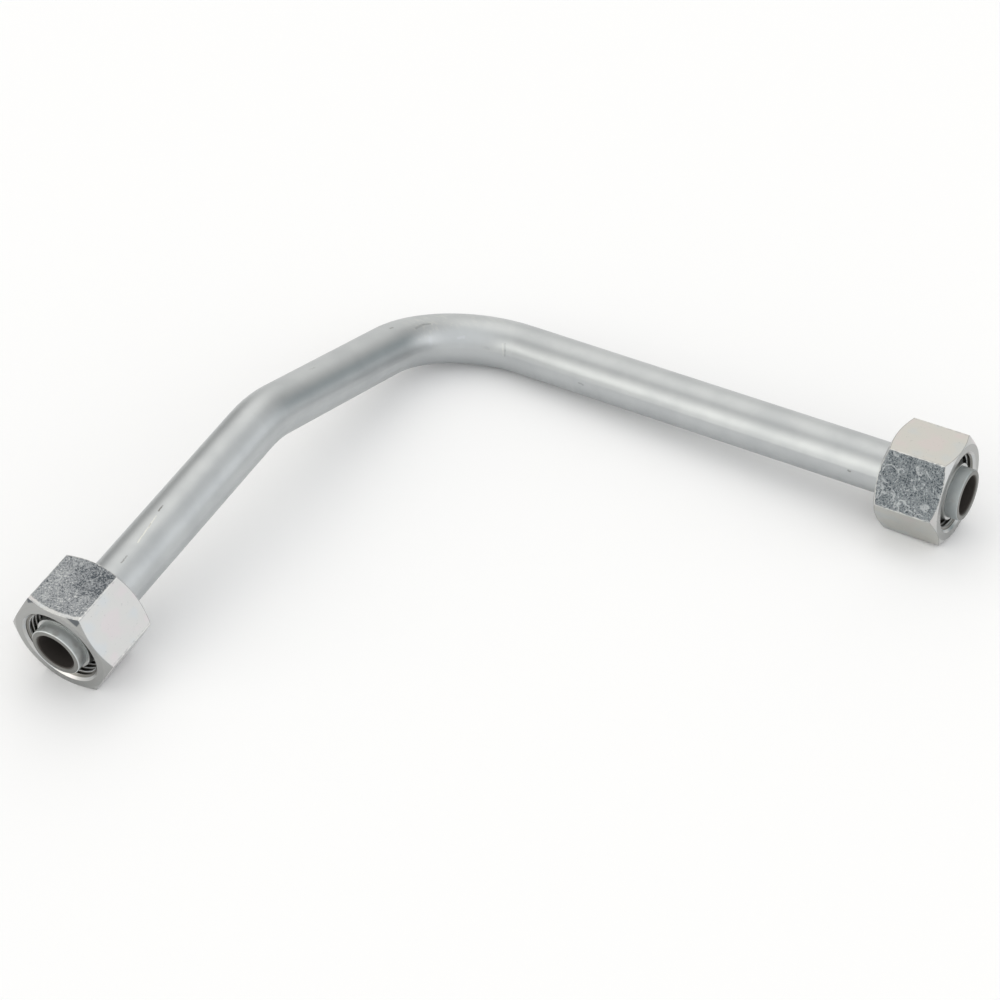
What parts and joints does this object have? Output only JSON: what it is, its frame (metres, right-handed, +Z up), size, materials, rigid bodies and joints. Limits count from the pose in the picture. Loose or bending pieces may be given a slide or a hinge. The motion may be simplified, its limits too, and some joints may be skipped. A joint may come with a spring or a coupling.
{
  "type": "rigid hydraulic line",
  "caption": "Bent steel tube for hydraulic oil, with a loose hexagonal union nut and a pressed-on cutting ring at each end.",
  "frame": {"origin": "on the floor, under the middle of the line's box as it lies at rest", "axes": "+Z up; +X along the long leg, out of its end, seen from above; the short leg's end points along -Y, seen from above"},
  "size_m": [0.2034, 0.2156, 0.0377],
  "materials": {
    "tube_zinc": "satin bright zinc on drawn steel tube",
    "ring_zinc": "satin zinc on turned steel",
    "nut_zinc": "bright zinc on forged and turned steel"
  },
  "bodies": {
    "tube": {"bent_tube": "tube_zinc", "short_leg_ring": "ring_zinc", "long_leg_ring": "ring_zinc"},
    "short_leg_nut": {"short_leg_nut": "nut_zinc"},
    "long_leg_nut": {"long_leg_nut": "nut_zinc"}
  },
  "joints": [
    {"name": "short_leg_nut_turn", "type": "hinge", "parent": "tube", "child": "short_leg_nut", "pos_m": [-0.08433, -0.09442, 0.0164], "axis": [0.0082, -0.9878, -0.1556], "continuous": true},
    {"name": "long_leg_nut_turn", "type": "hinge", "parent": "tube", "child": "long_leg_nut", "pos_m": [0.08791, 0.09048, 0.01573], "axis": [0.9986, 0, 0.0527], "continuous": true}
  ]
}
